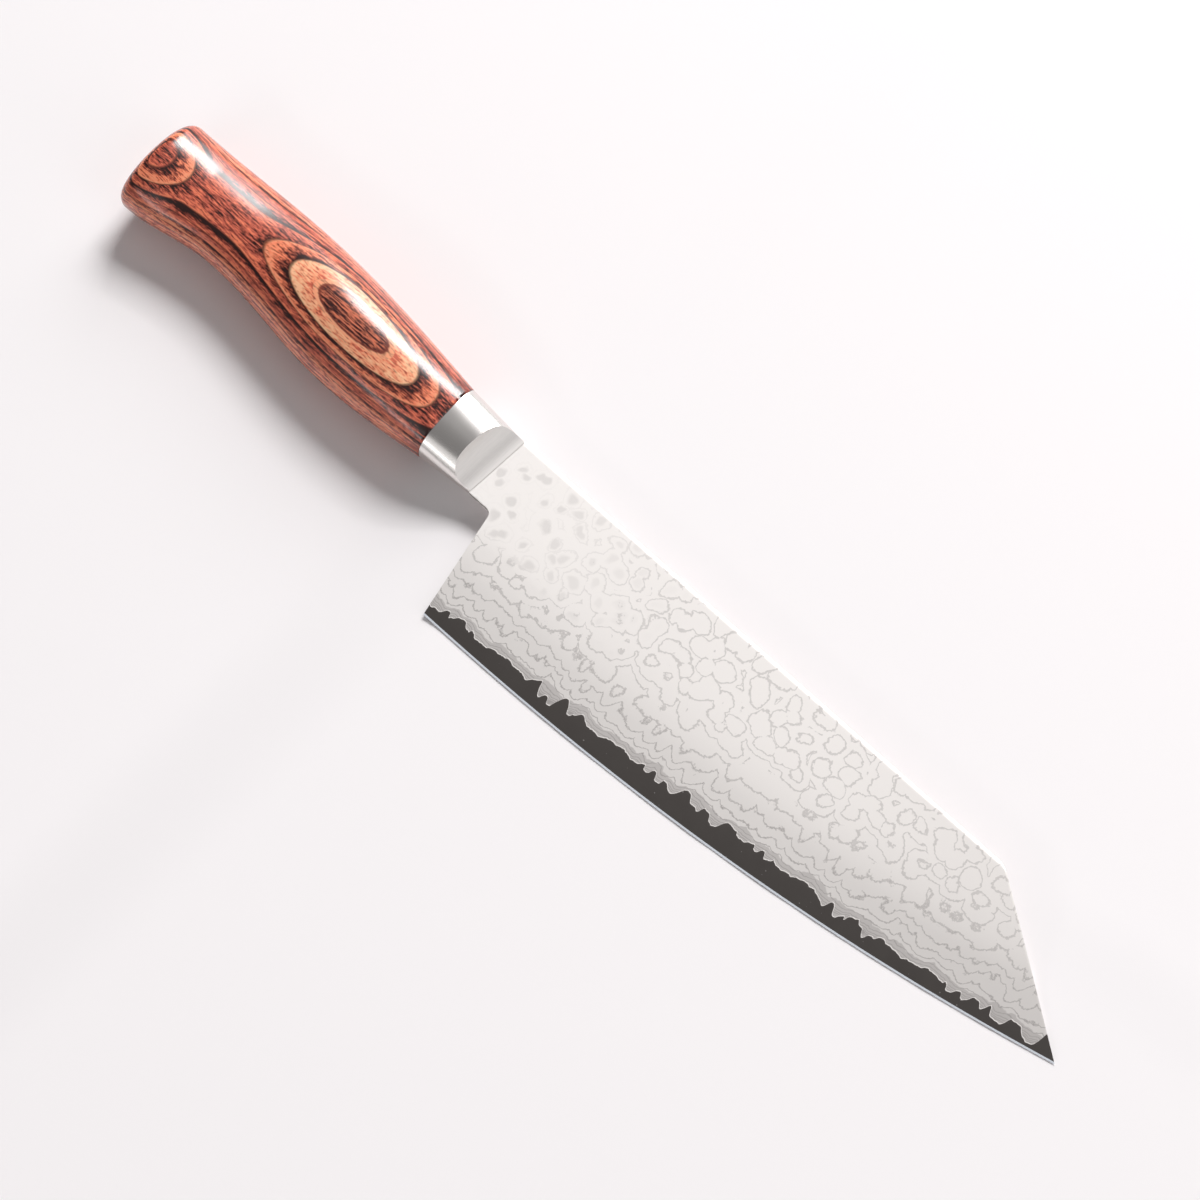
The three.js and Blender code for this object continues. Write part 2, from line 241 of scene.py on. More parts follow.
class HandleSizes(bpy.types.PropertyGroup):
    """Sizes of the handle."""

    end: length("End", "Reach of the handle behind the bolster's front", -118.398)
    butt_radius: length("Butt radius", "Rounding of the butt", 2.8)
    butt_dome: length("Butt dome", "Crown of the butt", 0.9)
    veneer: length("Veneer", "Thickness of one veneer", 1)
    veneers: IntProperty(name="Veneers", description="Number of veneers", default=21, min=3)
    slot_margin: length("Slot margin", "Room for epoxy round the tang", 1)
    slot_height: length("Slot height", "Height of the tang slot across the veneers", 3)


class FinishColours(bpy.types.PropertyGroup):
    """Colours of the finishes."""

    pale_steel: colour("Pale steel", "Etched cladding", 243, 238, 235)
    line_steel: colour("Line steel", "Layer lines of the cladding", 172, 167, 165)
    core_steel: colour("Core steel", "Dark polished core", 118, 112, 109)
    # Cutting bevel: real satin steel, with a near-white bluish colour that is partly a painted highlight
    bevel_steel_and_highlight: colour("Bevel steel", "Bright cutting bevel", 242, 247, 255)
    bolster_steel: colour("Bolster steel", "Polished barrel", 240, 235, 232)
    dark_wood: colour("Dark wood", "Dark veneers", 88, 44, 40)
    tan_wood: colour("Tan wood", "Tan veneers", 253, 194, 152)
    orange_wood: colour("Orange wood", "Outer red veneers", 240, 132, 96)
    red_wood: colour("Red wood", "Inner red veneers", 204, 98, 78)
    glue: colour("Glue line", "Dark line between veneers", 44, 18, 16)
    epoxy: colour("Epoxy", "Bedding of the tang", 205, 185, 138)
    floor: colour("Floor", "Pale floor", 247, 243, 244)


class StudioSettings(bpy.types.PropertyGroup):
    """Camera, lamps and floor."""

    target: point("Target", "Point that the camera looks at", (4.13 * MM, 4.08 * MM, 10.29 * MM))
    distance: length("Distance", "Distance of the camera", 789.2)
    turn: angle("Turn", "Turn of the camera round the knife", 43.1)
    rise: angle("Rise", "Rise of the camera above the floor", 72)
    lens: FloatProperty(name="Lens", description="Focal length", default=100, unit="CAMERA")
    horizon: ratio("Horizon", "Brightness of the room at eye level", 0.4)
    wall: ratio("Wall", "Brightness of the room's walls", 0.09)
    zenith: ratio("Zenith", "Brightness of the room overhead", 0.2)
    key: ratio("Key", "Brightness of the soft box on the spine's side", 19.5)
    panel: ratio("Panel", "Brightness of the broad panel on the edge's side", 0.78)
    wing: ratio("Wing", "Brightness of the low panel on the spine's side", 4.0)
    end: ratio("End", "Brightness of the panel beyond the tip", 0.85)
    strip: ratio("Strip", "Brightness of the slim lamp on the edge's side", 4.6)


def start_clean():
    """Leave edit mode with nothing selected."""
    if bpy.context.object and bpy.context.object.mode != "OBJECT":
        bpy.ops.object.mode_set(mode="OBJECT")
    bpy.ops.object.select_all(action="DESELECT")


def pick(obj):
    """Make one object the only selected and the active one."""
    start_clean()
    obj.select_set(True)
    bpy.context.view_layer.objects.active = obj


def edit_all(obj):
    """Enter edit mode with the whole of one object selected."""
    pick(obj)
    bpy.ops.object.mode_set(mode="EDIT")
    bpy.ops.mesh.select_all(action="SELECT")


def net(name, across, along):
    """A flat net of across by along faces, and the column and row of each of its points."""
    start_clean()
    bpy.ops.mesh.primitive_grid_add(x_subdivisions=across, y_subdivisions=along, size=2)
    obj = bpy.context.object
    obj.name = obj.data.name = name
    places = read_points(obj)
    column = np.rint((places[:, 0] + 1) / 2 * across).astype(int)
    row = np.rint((places[:, 1] + 1) / 2 * along).astype(int)
    return obj, column, row


def read_points(obj):
    places = np.empty(len(obj.data.vertices) * 3)
    obj.data.vertices.foreach_get("co", places)
    return places.reshape(-1, 3)


def write_points(obj, places):
    obj.data.vertices.foreach_set("co", np.ascontiguousarray(places, dtype=np.float32).ravel())
    obj.data.update()


def write_placed(obj, places):
    """Write points that are given in the blade's own frame."""
    write_points(obj, places + np.array(KNIFE_ORIGIN))


def write_attributes(obj, **attributes):
    for name, values in attributes.items():
        layer = obj.data.attributes.new(name, "FLOAT", "POINT")
        layer.data.foreach_set("value", np.asarray(values, dtype=np.float32))


def read_attribute(obj, name):
    values = np.empty(len(obj.data.vertices), dtype=np.float32)
    obj.data.attributes[name].data.foreach_get("value", values)
    return values


def second_side(obj):
    """Extrude a sheet and return which points belong to the new side."""
    edit_all(obj)
    bpy.ops.mesh.extrude_region_move(TRANSFORM_OT_translate={"value": (0, 0, 0)})
    bpy.ops.object.mode_set(mode="OBJECT")
    chosen = np.empty(len(obj.data.vertices), dtype=bool)
    obj.data.vertices.foreach_get("select", chosen)
    return chosen


def close_up(obj, gap=1e-6):
    """Merge doubles, drop what collapsed and turn all faces outwards."""
    edit_all(obj)
    bpy.ops.mesh.remove_doubles(threshold=gap)
    bpy.ops.mesh.dissolve_degenerate(threshold=gap)
    bpy.ops.mesh.select_all(action="SELECT")
    bpy.ops.mesh.normals_make_consistent(inside=False)
    bpy.ops.object.mode_set(mode="OBJECT")


def smooth(obj, degrees):
    pick(obj)
    bpy.ops.object.shade_smooth_by_angle(angle=math.radians(degrees))


def coat(obj, *materials):
    """Give an object its materials, in place of any others."""
    obj.data.materials.clear()
    for material in materials:
        obj.data.materials.append(material)


def settle(obj, slot, *nodes):
    """Tie a finished piece to the knife's body and hide the CAD nodes it stands for."""
    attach(obj, "root")
    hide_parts(*nodes)


def smooth_step(value, low, high):
    """0 below low and 1 above high, smooth between."""
    share = np.clip((value - low) / (high - low), 0, 1)
    return share**2 * (3 - 2 * share)


def wave(x, span, phase):
    return np.sin(2 * np.pi * x / span + phase)


def edge_y(b, x):
    """Height of the cutting edge."""
    share = np.clip((x - b.heel[0]) / (b.tip[0] - b.heel[0]), 0, None)
    return b.heel[1] + (b.tip[1] - b.heel[1]) * share**b.edge_bend


def nose_start(b):
    """Where the spine starts to turn into the nose."""
    corner = b.tip[0] + b.tip[1] / math.tan(b.nose_angle)
    return corner - b.nose_radius * math.tan(b.nose_angle / 2)


def top_y(b, x):
    """Height of the spine, the rounded corner and the nose."""
    start = nose_start(b)
    end = start + b.nose_radius * math.sin(b.nose_angle)
    swing = np.clip(x - start, 0, b.nose_radius)
    arc = np.sqrt(b.nose_radius**2 - swing**2) - b.nose_radius
    return np.where(x < end, arc, b.tip[1] + (b.tip[0] - x) * math.tan(b.nose_angle))


def bottom_y(b, x):
    """Height of the neck's underside, the choil, the heel line and then the cutting edge."""
    lean = (b.heel[0] - b.choil_x) / (b.heel[1] + b.neck_height)
    tilt = math.atan(-lean)
    middle = b.choil_x - b.choil_radius * math.tan((math.pi / 2 - tilt) / 2)
    start = middle + b.choil_radius * math.cos(tilt)
    swing = np.clip(x - middle, 0, b.choil_radius)
    fillet = np.sqrt(b.choil_radius**2 - swing**2) - b.choil_radius - b.neck_height
    heel_line = -b.neck_height + (x - b.choil_x) / lean
    return np.maximum(edge_y(b, x), np.where(x < start, fillet, heel_line))


def half_thickness(b, rise):
    """Half the blade's thickness at a rise above the cutting edge."""
    rest = np.clip(1 - (rise - b.bevel_height) / (b.grind_height - b.bevel_height), 0, 1)
    ground = b.thickness / 2 - (b.thickness - b.bevel_thickness) / 2 * rest**2
    bevel = rise / b.bevel_height * b.bevel_thickness / 2
    return np.where(rise < b.bevel_height, bevel, ground)


def grind_slope(b, rise):
    """How fast the blade thins towards the edge, on one side."""
    tall = b.grind_height - b.bevel_height
    rest = np.clip(1 - (rise - b.bevel_height) / tall, 0, 1)
    return -(b.thickness - b.bevel_thickness) * rest / tall


def core_rise(b, x, lobed=True):
    """Rise above the edge of the line where the core shows, with its lobes or plain."""
    share = np.clip((x - b.heel[0]) / (b.tip[0] - b.heel[0]), 0, 1)
    line = b.core_band + b.core_swell * np.sin(np.pi * share)
    line = line - b.core_fall * smooth_step(share, *CORE_FALL_SPAN)
    line = line + sum(height * wave(x, span, phase) for height, span, phase in CORE_WAVES)
    if not lobed:
        return line
    for depth, span, patch, phase in CORE_LOBES:
        stretch = np.clip(wave(x, patch, phase) * PATCH_STEEPNESS, 0, 1)
        turn = 2 * np.pi * x / span + LOBE_STRAY * wave(x, LOBE_STRAY_SPAN * span, phase)
        lobe = np.tanh(LOBE_FLATNESS * (np.sin(turn) - LOBE_SHIFT))
        line = line + depth * stretch * LOBE_SHARE * lobe
    blunt = np.clip((x - b.tip[0] + b.core_tip) / MM, 0, 1)
    return line + b.core_band * blunt**2


def core_lean(b, x):
    """Sideways lean of the core line's lobes, none at heel and tip."""
    heel_ease, tip_ease = 4 * MM, 8 * MM
    lean = sum(reach * wave(x, span, phase) for reach, span, phase in CORE_LEANS)
    past_heel = np.clip((x - b.heel[0]) / heel_ease, 0, 1)
    before_tip = np.clip((b.tip[0] - tip_ease - x) / tip_ease, 0, 1)
    return lean * past_heel * before_tip


def tang_bottom(b, x):
    share = np.clip(-x / b.tang_length, 0, 1)
    return -b.tang_top - b.tang_root + (b.tang_root - b.tang_end) * share


def blade_columns(b, last):
    """Places along tang and blade, closer together at the choil and heel, and which are in the tang."""
    neck_end, heel_end, pitch = 5 * MM, 13 * MM, 0.27 * MM
    tang = [-b.tang_length, 0]
    neck = np.linspace(0, neck_end, 9)
    heel = np.linspace(neck_end, heel_end, 81)
    rest = np.arange(heel_end, last, pitch)
    blade = np.unique(np.concatenate([neck, heel, rest, [b.heel[0], last]]))
    x = np.concatenate([tang, blade])
    return x, np.arange(len(x)) < len(tang)


def lean_front(p, x, y):
    """Lean the rear end of the blade as the bolster's front leans."""
    reach = 4 * MM
    return x + p.front_lean * (y - p.middle) * np.clip(1 - x / reach, 0, 1)


def layer_end(b):
    """Where the core line meets the nose."""
    search, samples = 20 * MM, 4001
    x = np.linspace(b.tip[0] - search, b.tip[0], samples)
    return x[np.argmax(edge_y(b, x) + core_rise(b, x) >= top_y(b, x))]


def core_level(b, x, in_tang):
    """Half the thickness of the core where the claddings lie on it."""
    level = half_thickness(b, core_rise(b, x))
    level[in_tang] = half_thickness(b, b.core_band)
    return level


def lay_sheet(b, p, obj, x, y, z, in_tang, fade):
    """Write a blade's net, leaned with the core line and the bolster's front, and return its x."""
    x = np.where(in_tang, x, x + core_lean(b, x) * fade)
    x = np.where(x > -b.tang_length + MM, lean_front(p, x, y), x)
    write_points(obj, np.stack([x, y, z], axis=1))
    return x


def thicken(obj, side=1):
    """Close a blade's net with a second face at its level, and put it on one side of the blade."""
    new = second_side(obj)
    places = read_points(obj)
    places[new, 2] = read_attribute(obj, "level")[new]
    places[:, 2] *= side
    write_placed(obj, places)
    obj.data.attributes.remove(obj.data.attributes["level"])
    close_up(obj)
    smooth(obj, BLADE_CREASE)
    return obj


def cladding(b, p, name, side):
    """One patterned layer: a net from the core line or heel up to the spine, closed down to the core."""
    low_steps = np.array([0, 0.12, 0.3, 0.6, 1.0, 1.6, 2.4, 3.4, 4.6]) * MM
    top_steps = np.array([2.2, 1.5, 1.1, 0.9, 0.6, 0.3, 0]) * MM
    rows_between, steps_share, nose_turn = 9, 0.4, 4 * MM
    x, in_tang = blade_columns(b, layer_end(b))
    low = np.maximum(bottom_y(b, x), edge_y(b, x) + core_rise(b, x))
    low = np.where(in_tang, tang_bottom(b, x), low)
    top = np.where(in_tang, -b.tang_top, top_y(b, x))
    low = np.minimum(low, top)
    shrink_low = np.minimum(1, steps_share * (top - low) / low_steps[-1])
    shrink_top = np.minimum(1, steps_share * (top - low) / top_steps[0])
    first = low[:, None] + shrink_low[:, None] * low_steps
    last = top[:, None] - shrink_top[:, None] * top_steps
    shares = np.linspace(0, 1, rows_between + 2)[1:-1]
    between = first[:, -1:] + (last[:, :1] - first[:, -1:]) * shares
    heights = np.concatenate([first, between, last], axis=1)

    obj, column, row = net(name, len(x) - 1, heights.shape[1] - 1)
    px, py, in_tang = x[column], heights[column, row], in_tang[column]
    rise = py - edge_y(b, px)
    over_core = rise - core_rise(b, px)
    over_line = rise - core_rise(b, px, lobed=False)
    level = core_level(b, px, in_tang)
    on_nose = np.clip((px - nose_start(b)) / nose_turn, 0, 1)
    ease = b.ease_width + (b.nose_ease - b.ease_width) * on_nose
    below = (top[column] - py) * (1 - on_nose * (1 - math.cos(b.nose_angle)))
    pz = half_thickness(b, rise) - ease * np.clip(1 - below / ease, 0, 1) ** 2 * math.tan(b.ease_angle)
    pz = np.where(in_tang, b.tang_thickness / 2, np.maximum(pz, level))
    fade = np.exp(-np.clip(over_core, 0, None) / LEAN_REACH)
    px = lay_sheet(b, p, obj, px, py, pz, in_tang, fade)
    write_attributes(
        obj,
        over_core=np.where(in_tang, 1, over_core),
        over_line=np.where(in_tang, 1, over_line),
        depth=b.thickness / 2 - half_thickness(b, rise),
        slope=grind_slope(b, rise),
        from_bolster=px,
        level=level,
    )
    return thicken(obj, side)


def core(b, p, name):
    """The hard middle layer: bare and bevelled at the edge, hidden between the claddings above."""
    bare_shares = np.array([0, 0.12, 0.3, 0.5, 0.7, 0.88, 1])
    hidden_shares = np.array([0.08, 0.3, 0.65, 1])
    x, in_tang = blade_columns(b, b.tip[0])
    low = np.where(in_tang, tang_bottom(b, x), bottom_y(b, x))
    top = np.where(in_tang, -b.tang_top, top_y(b, x))
    line = np.clip(edge_y(b, x) + core_rise(b, x), low, top)
    bevel = np.clip(edge_y(b, x) + b.bevel_height, low, line)
    bare = bevel[:, None] + (line - bevel)[:, None] * bare_shares
    hidden = line[:, None] + (top - line)[:, None] * hidden_shares
    heights = np.concatenate([low[:, None], bare, hidden], axis=1)

    obj, column, row = net(name, len(x) - 1, heights.shape[1] - 1)
    px, py, in_tang = x[column], heights[column, row], in_tang[column]
    rise = py - edge_y(b, px)
    over_core = rise - core_rise(b, px)
    pz = np.minimum(half_thickness(b, np.clip(rise, 0, None)), core_level(b, px, in_tang))
    fade = np.exp(-np.abs(over_core) / LEAN_REACH) * np.clip((rise - b.bevel_height) / MM, 0, 1)
    lay_sheet(b, p, obj, px, py, pz, in_tang, fade)
    write_attributes(obj, rise=np.where(in_tang, 1, rise), level=-pz)
    return thicken(obj)


def rounded(value, power):
    """A circle's share pushed towards a square."""
    return np.sign(value) * np.abs(value) ** (2 / power)


def section(turn, half_width, crown, power):
    """A rounded section with crowned broad sides: its shares of the half height, and its z."""
    share = rounded(np.cos(turn), power)
    z = (half_width - crown) * rounded(np.sin(turn), power)
    return share, z + np.sign(np.sin(turn)) * crown * (1 - share**2)


def bolster(p, thickness, name):
    """A barrel with a round hollow on each broad side, rolled from a net that has a row along the rim."""
    around, barrel_rows, hollow_rows, halvings = 384, 16, 16, 40
    turn = np.linspace(0, 2 * np.pi, around + 1)
    floor_z = thickness / 2 + p.scoop_ledge + p.scoop_radius
    ends = (
        (p.rear_height, p.front_height),
        (p.rear_thickness, p.front_thickness),
        (p.rear_power, p.front_power),
        (p.rear_lean, p.front_lean),
    )

    def skin(station):
        """Places on the barrel at a share of its length, and how far they are ahead of the front."""
        half_height, half_width, power, lean = (rear + (front - rear) * station for rear, front in ends)
        share, z = section(turn, half_width, p.crown, power)
        y = half_height * share
        x = (station - 1) * p.length + lean * y
        return x, y, z, x - p.front_lean * y

    def hollow(ahead):
        """Half the thickness that the hollows leave, without a limit behind them."""
        reach = np.clip(1 - (ahead / p.scoop_radius) ** 2, 0, None)
        return np.where(-ahead < p.scoop_radius, floor_z - p.scoop_radius * np.sqrt(reach), np.inf)

    near, far = np.zeros_like(turn), np.ones_like(turn)
    for _ in range(halvings):
        middle = (near + far) / 2
        _, _, z, ahead = skin(middle)
        cut = np.abs(z) > hollow(ahead)
        near, far = np.where(cut, near, middle), np.where(cut, middle, far)
    rim = (near + far) / 2
    rim[np.abs(skin(np.ones_like(turn))[2]) <= hollow(np.zeros_like(turn))] = 1

    obj, column, row = net(name, around, barrel_rows + hollow_rows)
    stations = [rim * (k / barrel_rows) for k in range(barrel_rows + 1)]
    stations += [rim + (1 - rim) * (k / hollow_rows) for k in range(1, hollow_rows + 1)]
    places = np.zeros((len(column), 3))
    for k, station in enumerate(stations):
        x, y, z, ahead = skin(station)
        if k > barrel_rows:
            z = np.sign(z) * np.minimum(np.abs(z), hollow(ahead))
        mine = row == k
        places[mine] = np.stack([x, y + p.middle, z], axis=1)[column[mine]]
    write_placed(obj, places)
    write_attributes(obj, in_hollow=row > barrel_rows)
    return obj


def fill_rings(obj):
    """Close every open ring of a tube with a face."""
    pick(obj)
    bpy.ops.object.mode_set(mode="EDIT")
    bpy.ops.mesh.select_mode(type="EDGE")
    bpy.ops.mesh.select_all(action="DESELECT")
    bpy.ops.mesh.select_non_manifold(
        extend=False, use_wire=False, use_multi_face=False, use_non_contiguous=False, use_verts=False
    )
    bpy.ops.mesh.edge_face_add()
    bpy.ops.mesh.select_mode(type="VERT")
    bpy.ops.object.mode_set(mode="OBJECT")


def eased_line(keys, x):
    """Value of a line along the handle: eased out of its first place, then from place to place."""
    value = np.full_like(x, keys[-1][1])
    for k in range(len(keys) - 1, 0, -1):
        (x0, v0), (x1, v1) = keys[k - 1], keys[k]
        share = np.clip((x - x0) / (x1 - x0), 0, 1)
        eased = np.sin(share * np.pi / 2) if k == 1 else (1 - np.cos(np.pi * share)) / 2
        value = np.where(x > x1, v0 + (v1 - v0) * eased, value)
    return value


def handle_blank(h, rear_lean):
    """The whole handle as one smooth closed form, before it is sliced into veneers."""
    around, body_rows, round_rows, cap_rows = 160, 130, 10, 9
    glue_gap, lean_fade, crease = 0.05 * MM, 4, 60
    front = NOSE_X - glue_gap
    square_end = h.end + h.butt_dome + h.butt_radius
    station = np.concatenate([
        np.linspace(front, square_end, body_rows + 1),
        np.full(round_rows + cap_rows, square_end),
    ])
    bend = np.concatenate([
        np.zeros(body_rows + 1),
        np.linspace(0, np.pi / 2, round_rows + 1)[1:],
        np.full(cap_rows, np.pi / 2),
    ])
    shrink = np.concatenate([np.ones(body_rows + 1 + round_rows), np.linspace(1, 0, cap_rows + 1)[1:]])

    obj, column, row = net("handle_blank", around, len(station) - 1)
    turn = column * 2 * np.pi / around
    x = station[row]
    inset = h.butt_radius * (1 - np.cos(bend[row]))
    top, belly = eased_line(TOP_LINE, x), eased_line(BELLY_LINE, x)
    half_height = (top - belly) / 2 - inset
    half_width = eased_line(HALF_THICKNESS_LINE, x) - inset
    crown = np.minimum(eased_line(CROWN_LINE, x), half_width)
    share, z = section(turn, half_width, crown, eased_line(POWER_LINE, x))
    y = half_height * share + eased_line(CREST_LINE, x) * (1 - share**2)
    straight = (x - square_end) / (front - square_end)
    x = x - h.butt_radius * np.sin(bend[row]) + rear_lean * straight**lean_fade * y
    capped = shrink[row]
    x = x - h.butt_dome * (1 - capped**2) ** 2
    y = y * capped + (top + belly) / 2
    write_placed(obj, np.stack([x, y, z * capped], axis=1))
    close_up(obj)
    fill_rings(obj)
    close_up(obj)
    smooth(obj, crease)
    return obj


def bisected(obj, place, normal, keep_ahead):
    """Cut an object by a plane and keep one side, closed."""
    edit_all(obj)
    bpy.ops.mesh.bisect(
        plane_co=place,
        plane_no=normal,
        use_fill=True,
        clear_inner=keep_ahead,
        clear_outer=not keep_ahead,
        threshold=1e-7,
    )
    bpy.ops.object.mode_set(mode="OBJECT")


def copied(obj, name):
    pick(obj)
    bpy.ops.object.duplicate()
    copy = bpy.context.object
    copy.name = copy.data.name = name
    return copy


def cut_away(obj, tool):
    """Cut a tool's shape out of an object."""
    pick(obj)
    bpy.ops.object.modifier_add(type="BOOLEAN")
    cutter = obj.modifiers[-1]
    cutter.operation = "DIFFERENCE"
    cutter.solver = "EXACT"
    cutter.object = tool
    bpy.ops.object.modifier_apply(modifier=cutter.name)


def discard(obj):
    pick(obj)
    bpy.ops.object.delete()


def tang_tool(b, margin, height, reach=5 * MM):
    """A tapered bar in the shape of the tang or its slot, from behind its end to ahead of the bolster."""
    start_clean()
    bpy.ops.mesh.primitive_cube_add(size=2)
    obj = bpy.context.object
    places = read_points(obj)
    x = np.where(places[:, 0] > 0, reach, -b.tang_length - margin)
    low = np.where(places[:, 0] > 0, -b.tang_root, -b.tang_end)
    y = -b.tang_top + np.where(places[:, 1] > 0, margin, low - margin)
    write_placed(obj, np.stack([x, y, places[:, 2] * height / 2], axis=1))
    return obj


def carry_normals(obj, blank_tree, blank):
    """Shade a slice as the uncut handle is shaded, so that the lacquer runs on across the veneers."""
    level, inward_share = 0.9999, 0.02
    mesh = obj.data
    normals = [None] * len(mesh.loops)
    for face in mesh.polygons:
        flat = abs(face.normal.z) > level or len(face.vertices) > 4
        for loop in face.loop_indices:
            if flat:
                normals[loop] = face.normal.copy()
                continue
            place = mesh.vertices[mesh.loops[loop].vertex_index].co
            inward = place + (face.center - place) * inward_share
            normals[loop] = blended_normal(blank_tree, blank, inward)
    for face in mesh.polygons:
        face.use_smooth = True
    mesh.normals_split_custom_set(normals)


def blended_normal(tree, blank, place):
    """The uncut handle's normal nearest to a place, blended from the corners of the face there."""
    closest = 1e-14
    hit, _, index, _ = tree.find_nearest(place)
    corners = blank.polygons[index].vertices
    weights = [1 / max((blank.vertices[v].co - hit).length_squared, closest) for v in corners]
    total = Vector((0, 0, 0))
    for v, weight in zip(corners, weights):
        total += blank.vertices[v].normal * weight
    return total.normalized()


def fill_ramp(ramp, stops):
    """Give a colour ramp its places and colours."""
    while len(ramp.elements) < len(stops):
        ramp.elements.new(1.0)
    for element, (position, shade) in zip(ramp.elements, stops):
        element.position = position
        element.color = (*shade, 1)


class Nodes:
    """A material's node tree with a short way to add and join nodes."""

    def __init__(self, name):
        self.material = bpy.data.materials.new(name)
        self.material.use_nodes = True
        self.tree = self.material.node_tree
        self.shader = self.tree.nodes["Principled BSDF"]

    def add(self, kind, settings=None, **inputs):
        node = self.tree.nodes.new(kind)
        for key, value in (settings or {}).items():
            setattr(node, key, value)
        for key, value in inputs.items():
            self.plug(node, key, value)
        return node

    def plug(self, node, key, value):
        """Link or set an input, named or given as i and its number."""
        socket = node.inputs[int(key[1:])] if key[0] == "i" and key[1:].isdigit() else node.inputs[key]
        if isinstance(value, bpy.types.NodeSocket):
            self.tree.links.new(value, socket)
        else:
            socket.default_value = value

    def math(self, operation, first, second=0.0):
        return self.add("ShaderNodeMath", {"operation": operation}, i0=first, i1=second).outputs[0]

    plus = partialmethod(math, "ADD")
    minus = partialmethod(math, "SUBTRACT")
    times = partialmethod(math, "MULTIPLY")
    over = partialmethod(math, "DIVIDE")
    power = partialmethod(math, "POWER")
    larger = partialmethod(math, "MAXIMUM")
    size = partialmethod(math, "ABSOLUTE")

    def between(self, share, start, end):
        """A value that runs from start to end as a share runs from 0 to 1."""
        return self.plus(self.times(share, end - start), start)

    def lifted(self, share, floor):
        """A share that runs from a floor up to 1."""
        return self.plus(self.times(share, self.minus(1.0, floor)), floor)

    def swing(self, noise, reach):
        """Noise made to swing about zero."""
        return self.times(self.minus(noise, 0.5), reach)

    def step(self, value, low, high):
        """0 below low and 1 above high, smooth between."""
        node = self.add("ShaderNodeMapRange", {"interpolation_type": "SMOOTHSTEP"}, Value=value)
        node.inputs["From Min"].default_value = low
        node.inputs["From Max"].default_value = high
        return node.outputs[0]

    def fall(self, value, low, high):
        """1 below low and 0 above high, smooth between."""
        return self.minus(1.0, self.step(value, low, high))

    def attribute(self, name):
        return self.add("ShaderNodeAttribute", {"attribute_name": name}).outputs["Fac"]

    def axes(self):
        where = self.add("ShaderNodeTexCoord").outputs["Object"]
        return self.add("ShaderNodeSeparateXYZ", Vector=where).outputs

    def place(self, scale=(1, 1, 1), offset=(0, 0, 0)):
        where = self.add("ShaderNodeTexCoord").outputs["Object"]
        return self.add("ShaderNodeMapping", Vector=where, Scale=scale, Location=offset).outputs[0]

    def noise(self, where, scale, detail, roughness=0.5):
        node = self.add("ShaderNodeTexNoise", Vector=where, Scale=scale, Detail=detail, Roughness=roughness)
        return node.outputs["Fac"]

    def vector(self, operation, **inputs):
        return self.add("ShaderNodeVectorMath", {"operation": operation}, **inputs).outputs[0]

    def strayed(self, where, scale, reach):
        """A place moved about by soft noise."""
        noise = self.add("ShaderNodeTexNoise", Vector=where, Scale=scale, Detail=0.0).outputs["Color"]
        stray = self.vector("SUBTRACT", i0=noise, i1=(0.5, 0.5, 0.5))
        return self.vector("ADD", i0=where, i1=self.vector("SCALE", i0=stray, Scale=reach))

    def ramp(self, value, stops):
        node = self.add("ShaderNodeValToRGB", Fac=value)
        fill_ramp(node.color_ramp, stops)
        return node.outputs["Color"]

    def mix(self, share, first, second):
        node = self.add("ShaderNodeMix", {"data_type": "RGBA"}, i0=share)
        for key, value in (("i6", first), ("i7", second)):
            self.plug(node, key, value if isinstance(value, bpy.types.NodeSocket) else (*value, 1))
        return node.outputs[2]

    def relief(self, height, strength, distance):
        return self.add("ShaderNodeBump", Height=height, Strength=strength, Distance=distance).outputs[0]

    def finish(self, **inputs):
        for key, value in inputs.items():
            self.plug(self.shader, key.replace("_", " "), value)
        return self.material


